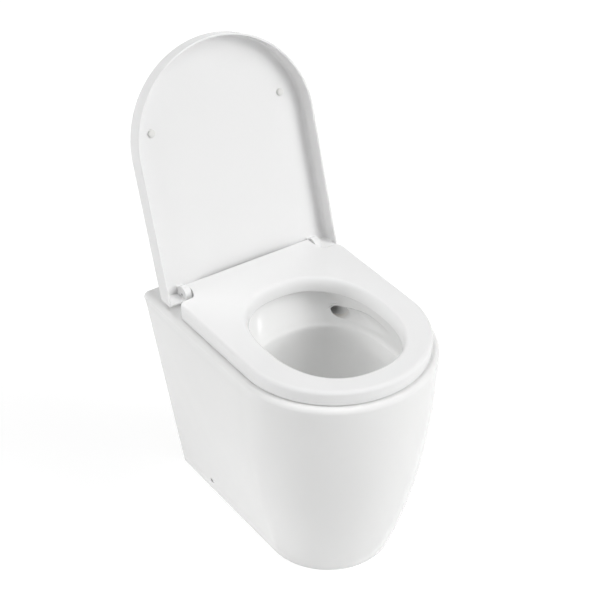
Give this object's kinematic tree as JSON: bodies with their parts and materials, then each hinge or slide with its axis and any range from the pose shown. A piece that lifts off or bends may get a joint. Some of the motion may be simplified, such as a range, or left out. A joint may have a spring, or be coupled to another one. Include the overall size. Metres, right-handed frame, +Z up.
{
  "type": "back to wall toilet",
  "caption": "Floor standing back to wall toilet: D-shaped ceramic pan with a rimless bowl, a soft-close seat ring and a wrap-over lid that stands open.",
  "frame": {"origin": "centre of the pan's rear edge on the floor: x = 0 is the centre line, y = 0 the wall plane and z = 0 the floor", "axes": "+X to the right as seen from the front, +Y back to the wall (the pan's nose points to -Y), +Z up"},
  "size_m": [0.36, 0.5676, 0.8258],
  "materials": {
    "vitreous_china": "gloss white glaze",
    "seat_plastic": "gloss white",
    "lid_plastic": "gloss white",
    "block_plastic": "gloss white",
    "button_plastic": "light grey",
    "bumper_rubber": "soft, off-white",
    "damper_plastic": "dark grey",
    "sleeve_plastic": "white",
    "zinc_steel": "zinc plated",
    "steel": "stainless",
    "black_rubber": "soft black"
  },
  "bodies": {
    "base": {"pan": "vitreous_china", "flush_seal": "black_rubber", "floor_bracket_left": "zinc_steel", "floor_bracket_right": "zinc_steel", "side_sleeves": "sleeve_plastic", "side_screws": "steel", "hinge_post_left": "steel", "hinge_post_right": "steel", "post_gaskets": "bumper_rubber", "expansion_bushes": "black_rubber", "clamp_nuts": "zinc_steel"},
    "carrier": {"hinge_block_left": "block_plastic", "hinge_block_right": "block_plastic", "seat_damper_rotor": "steel", "lid_damper_housing": "damper_plastic"},
    "button_left": {"latch_slider_left": "button_plastic"},
    "button_right": {"latch_slider_right": "button_plastic"},
    "seat": {"seat_ring": "seat_plastic", "seat_bumpers_front": "bumper_rubber", "seat_bumpers_rear": "bumper_rubber", "seat_damper_housing": "damper_plastic", "seat_bush": "sleeve_plastic"},
    "lid": {"lid": "lid_plastic", "lid_bumpers": "bumper_rubber", "lid_pivot_pin": "steel", "lid_damper_rotor": "steel"}
  },
  "joints": [
    {"name": "seat_lift_off", "type": "slide", "parent": "base", "child": "carrier", "axis": [0, 0, 1], "range_m": [0, 0.06]},
    {"name": "lid_hinge", "type": "hinge", "parent": "carrier", "child": "lid", "pos_m": [0, -0.065, 0.422], "axis": [-1, 0, 0], "range_deg": [-107.5, 0]},
    {"name": "seat_hinge", "type": "hinge", "parent": "carrier", "child": "seat", "pos_m": [0, -0.065, 0.422], "axis": [-1, 0, 0], "range_deg": [0, 100]},
    {"name": "release_button_left", "type": "slide", "parent": "carrier", "child": "button_left", "axis": [-1, 0, 0], "range_m": [0, 0.003], "stiffness_N_per_m": 900, "springref_m": -0.001},
    {"name": "release_button_right", "type": "slide", "parent": "carrier", "child": "button_right", "axis": [1, 0, 0], "range_m": [0, 0.003], "stiffness_N_per_m": 900, "springref_m": -0.001}
  ]
}
